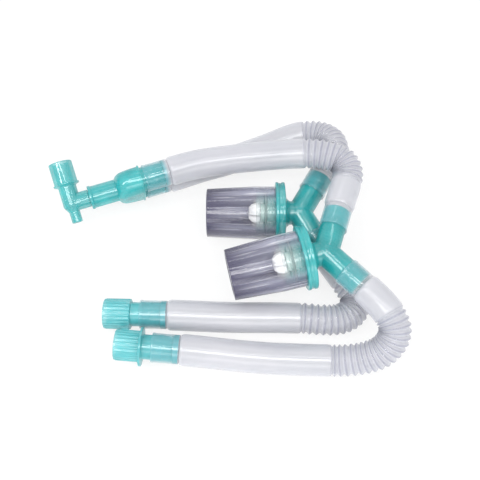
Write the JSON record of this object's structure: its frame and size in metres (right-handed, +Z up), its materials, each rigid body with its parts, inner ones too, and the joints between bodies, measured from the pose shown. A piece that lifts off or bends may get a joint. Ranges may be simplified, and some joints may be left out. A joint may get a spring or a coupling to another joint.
{
  "type": "anesthesia breathing circuit",
  "caption": "Corrugated twin-limb breathing circuit: elbow and Y-piece, hoses to machine connectors, and a water trap with a removable cup in each limb.",
  "frame": {"origin": "middle of the whole circuit's footprint, on the table it lies on", "axes": "+X along the circuit's length, from the patient's and machine's ends towards the bends beyond the water traps; +Y from the machine limbs towards the patient limbs; +Z up from the table"},
  "size_m": [0.3234, 0.258, 0.0806],
  "materials": {
    "teal_plastic": "gloss",
    "pale_teal_plastic": "satin",
    "hose_plastic": "satin",
    "smoky_plastic": "gloss",
    "white_plastic": "satin",
    "spring_steel": "satin",
    "silicone": "satin",
    "black_rubber": "matte"
  },
  "bodies": {
    "circuit": {"back_cup_seal": "black_rubber", "back_machine_connector": "pale_teal_plastic", "back_machine_hose": "hose_plastic", "back_patient_hose": "hose_plastic", "back_trap_lid": "teal_plastic", "back_valve_spring": "spring_steel", "front_cup_seal": "black_rubber", "front_machine_connector": "pale_teal_plastic", "front_machine_hose": "hose_plastic", "front_patient_hose": "hose_plastic", "front_trap_lid": "teal_plastic", "front_valve_spring": "spring_steel", "y_piece": "teal_plastic"},
    "elbow": {"elbow": "teal_plastic"},
    "back_cup": {"back_trap_cup": "smoky_plastic"},
    "back_valve": {"back_valve_plunger": "white_plastic", "back_valve_seal": "silicone"},
    "front_cup": {"front_trap_cup": "smoky_plastic"},
    "front_valve": {"front_valve_plunger": "white_plastic", "front_valve_seal": "silicone"}
  },
  "joints": [
    {"name": "elbow_swivel", "type": "hinge", "parent": "circuit", "child": "elbow", "pos_m": [-0.13966, 0.03648, 0.02919], "axis": [0.9426, 0.3338, 0], "continuous": true},
    {"name": "back_cup_pull", "type": "slide", "parent": "circuit", "child": "back_cup", "axis": [-1, 0, 0], "range_m": [0, 0.025]},
    {"name": "back_valve_close", "type": "slide", "parent": "circuit", "child": "back_valve", "axis": [-1, 0, 0], "range_m": [0, 0.004]},
    {"name": "front_cup_pull", "type": "slide", "parent": "circuit", "child": "front_cup", "axis": [-0.9735, -0.2176, -0.0698], "range_m": [0, 0.025]},
    {"name": "front_valve_close", "type": "slide", "parent": "circuit", "child": "front_valve", "axis": [-0.9735, -0.2176, -0.0698], "range_m": [0, 0.004]}
  ],
  "couplings": [
    {"joint": "back_valve_close", "follows": "back_cup_pull", "ratio": 0.16},
    {"joint": "front_valve_close", "follows": "front_cup_pull", "ratio": 0.16}
  ]
}
